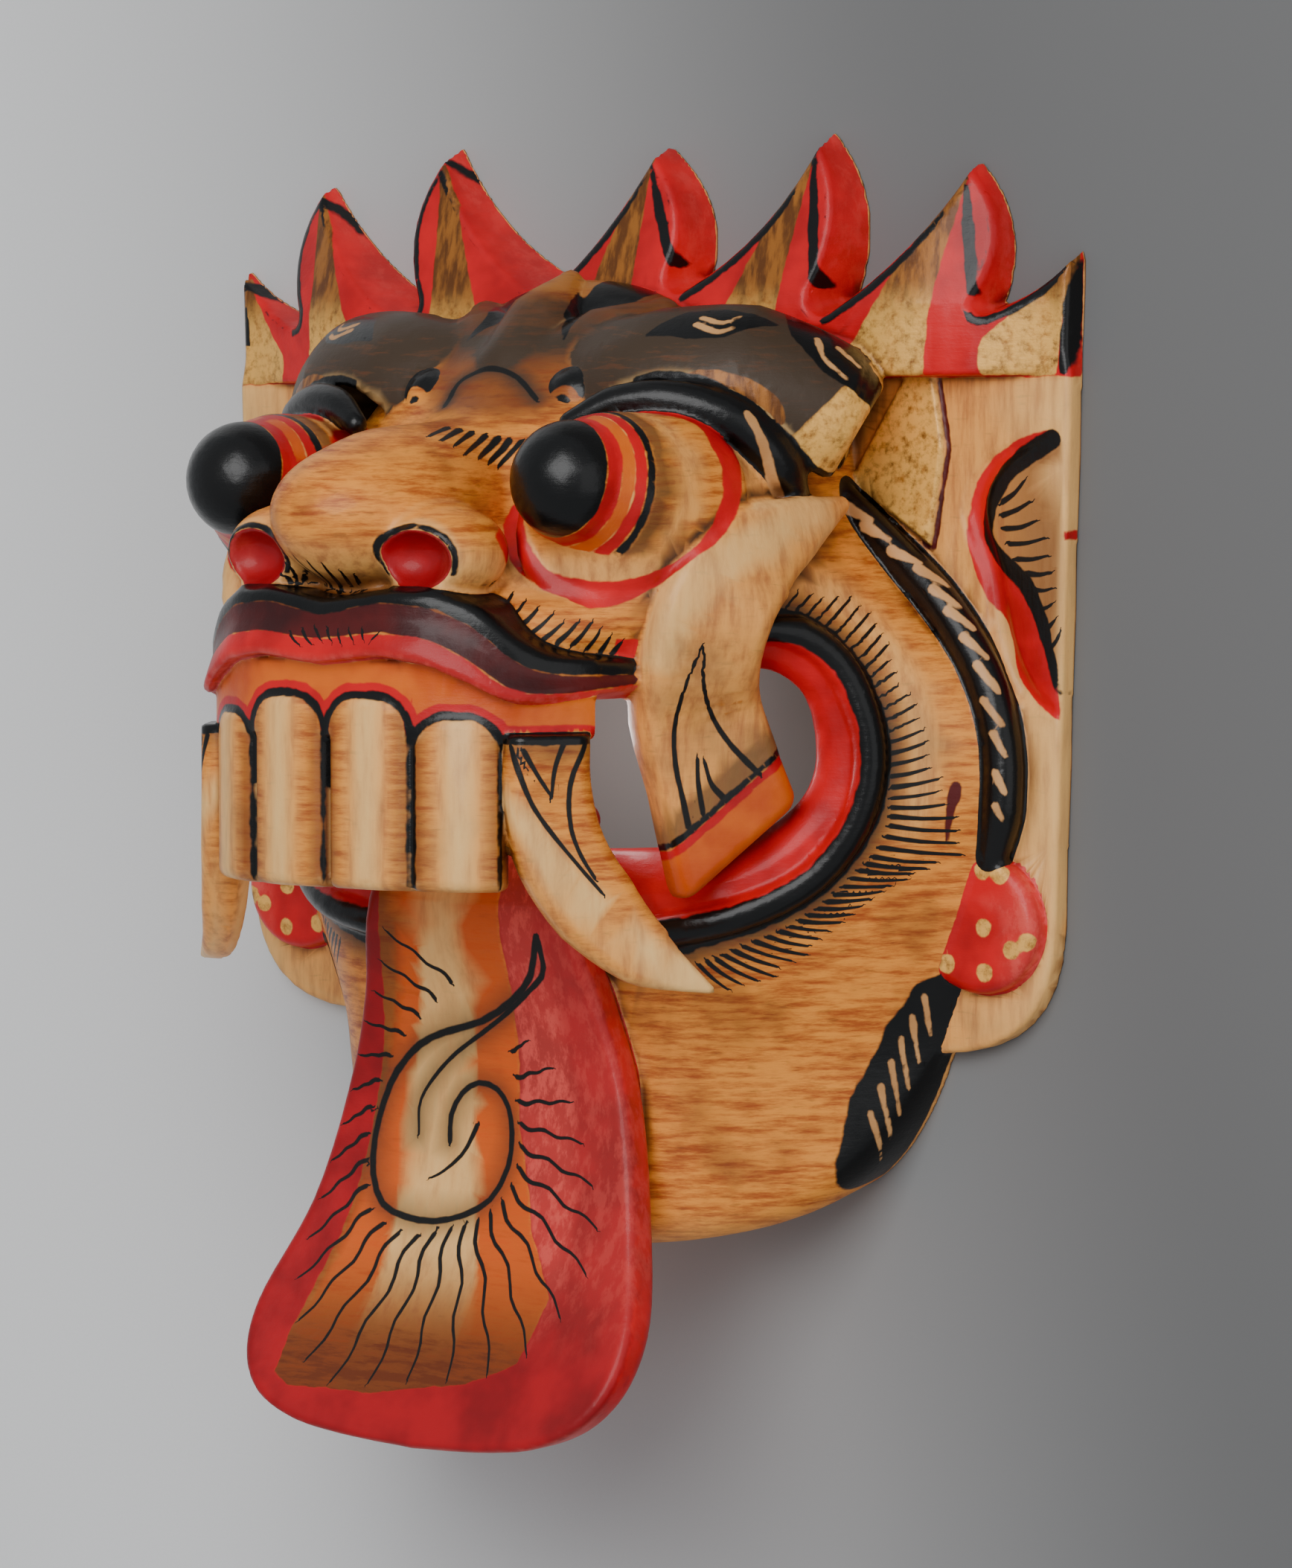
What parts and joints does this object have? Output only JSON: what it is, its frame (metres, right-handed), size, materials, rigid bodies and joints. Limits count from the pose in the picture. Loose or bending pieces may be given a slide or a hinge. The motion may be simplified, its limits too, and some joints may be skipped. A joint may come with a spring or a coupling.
{
  "type": "carved mask",
  "caption": "Carved and painted wooden demon mask with a crown of flames, bulging eyes, tusks and a long hanging tongue, hollow behind and flat at the back.",
  "frame": {"origin": "middle of the bounding box at the flat back, which lies on the ground", "axes": "+X to the viewer's right across the face, +Y up the face towards the crown, +Z out of the face"},
  "size_m": [0.2198, 0.266, 0.1133],
  "materials": {
    "mask": "varnished, painted red, black and gold"
  },
  "bodies": {
    "root": {"mask": "mask"}
  },
  "joints": []
}
